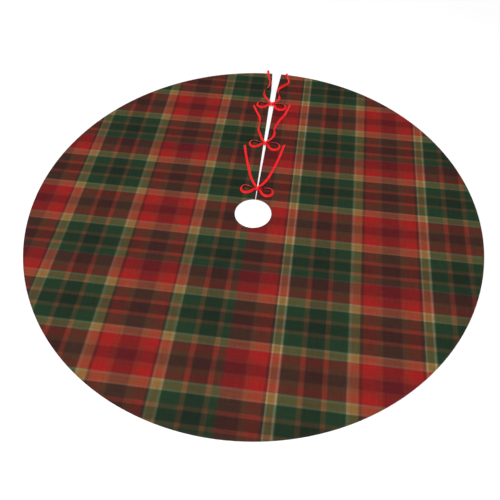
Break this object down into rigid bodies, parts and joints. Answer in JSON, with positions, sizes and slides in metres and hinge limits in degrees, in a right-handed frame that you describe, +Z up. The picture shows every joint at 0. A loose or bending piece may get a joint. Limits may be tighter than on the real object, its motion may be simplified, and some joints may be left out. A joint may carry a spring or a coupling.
{
  "type": "tree skirt",
  "caption": "Round lined plaid fabric tree skirt with a trunk hole and a back slit closed by ribbon bows; folds in half for storage.",
  "frame": {"origin": "on the floor, under the centre of the trunk hole", "axes": "+Z up out of the plaid face, +Y along the slit from the trunk hole to the outer edge, +X to the right of the slit seen from the front"},
  "size_m": [1.22, 1.2347, 0.0084],
  "materials": {
    "plaid_face": "brushed red and green plaid, matte",
    "lining": "plain off-white weave, matte",
    "satin_ribbon": "bright red satin",
    "thread": "red sewing thread"
  },
  "bodies": {
    "front_half": {"lining_front": "lining", "face_front": "plaid_face"},
    "back_half": {"lining_back_left": "lining", "lining_back_right": "lining", "face_back_left": "plaid_face", "face_back_right": "plaid_face", "inner_knot": "satin_ribbon", "inner_left_stub": "satin_ribbon", "inner_right_stub": "satin_ribbon", "inner_left_tack": "thread", "inner_right_tack": "thread", "inner_left_loop": "satin_ribbon", "inner_right_loop": "satin_ribbon", "inner_left_tail": "satin_ribbon", "inner_right_tail": "satin_ribbon", "middle_knot": "satin_ribbon", "middle_left_stub": "satin_ribbon", "middle_right_stub": "satin_ribbon", "middle_left_tack": "thread", "middle_right_tack": "thread", "middle_left_loop": "satin_ribbon", "middle_right_loop": "satin_ribbon", "middle_left_tail": "satin_ribbon", "middle_right_tail": "satin_ribbon", "outer_knot": "satin_ribbon", "outer_left_stub": "satin_ribbon", "outer_right_stub": "satin_ribbon", "outer_left_tack": "thread", "outer_right_tack": "thread", "outer_left_loop": "satin_ribbon", "outer_right_loop": "satin_ribbon", "outer_left_tail": "satin_ribbon", "outer_right_tail": "satin_ribbon"}
  },
  "joints": [
    {"name": "storage_fold", "type": "hinge", "parent": "front_half", "child": "back_half", "pos_m": [0, 0, 0.0027], "axis": [1, 0, 0], "range_deg": [0, 165]}
  ]
}
